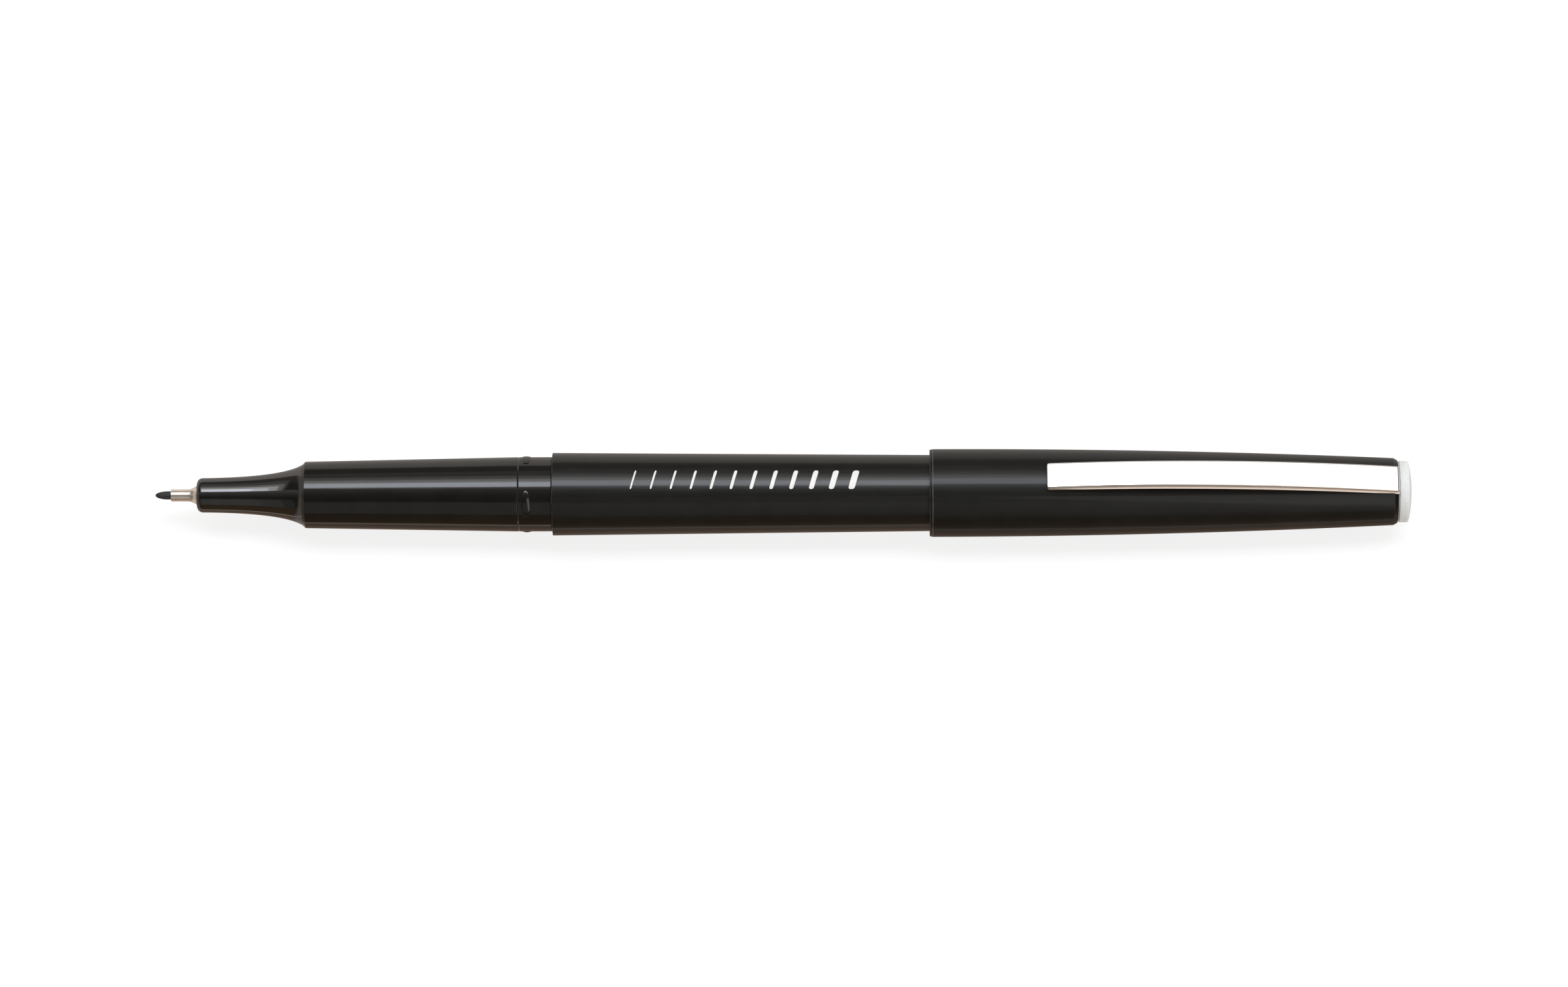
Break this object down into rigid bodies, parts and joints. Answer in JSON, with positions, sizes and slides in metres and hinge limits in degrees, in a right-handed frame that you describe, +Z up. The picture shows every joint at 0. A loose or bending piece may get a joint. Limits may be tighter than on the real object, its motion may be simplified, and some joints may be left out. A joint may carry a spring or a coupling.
{
  "type": "fineliner pen",
  "caption": "Slim black fineliner with a fibre nib in a metal sleeve, a waisted nose, a stepped barrel and a posted cap with a folded steel pocket clip.",
  "frame": {"origin": "under the middle of the pen, on the surface that it lies on", "axes": "+X along the pen from the nib to the cap's end, +Y across, +Z up through the clip"},
  "size_m": [0.152, 0.0106, 0.0119],
  "materials": {
    "nib_fibre": "ink-soaked bonded fibre",
    "sleeve_metal": "drawn and nickel plated",
    "nose_plastic": "gloss black moulding",
    "barrel_plastic": "gloss black moulding",
    "cap_plastic": "satin black moulding",
    "wad_fibre": "ink-soaked fibre bundle",
    "clear_film": "thin clear film",
    "seal_plastic": "soft natural moulding",
    "plug_plastic": "pale grey matt moulding",
    "clip_steel": "bright plated spring steel"
  },
  "bodies": {
    "pen_body": {"nib": "nib_fibre", "nib_sleeve": "sleeve_metal", "nose_section": "nose_plastic", "grip_barrel": "barrel_plastic", "barrel": "barrel_plastic", "tail_plug": "nose_plastic", "ink_reservoir": "wad_fibre", "reservoir_film": "clear_film"},
    "cap": {"cap_shell": "cap_plastic", "inner_cap": "seal_plastic", "cap_plug": "plug_plastic", "clip_ring": "clip_steel"},
    "clip": {"clip": "clip_steel"}
  },
  "joints": [
    {"name": "cap_pull", "type": "slide", "parent": "pen_body", "child": "cap", "axis": [1, 0, 0], "range_m": [0, 0.04]},
    {"name": "clip_flex", "type": "hinge", "parent": "cap", "child": "clip", "pos_m": [0.07387, 0, 0.00966], "axis": [0, 1, 0], "range_deg": [0, 4], "stiffness_Nm_per_rad": 3.5, "springref_deg": -0.57}
  ]
}
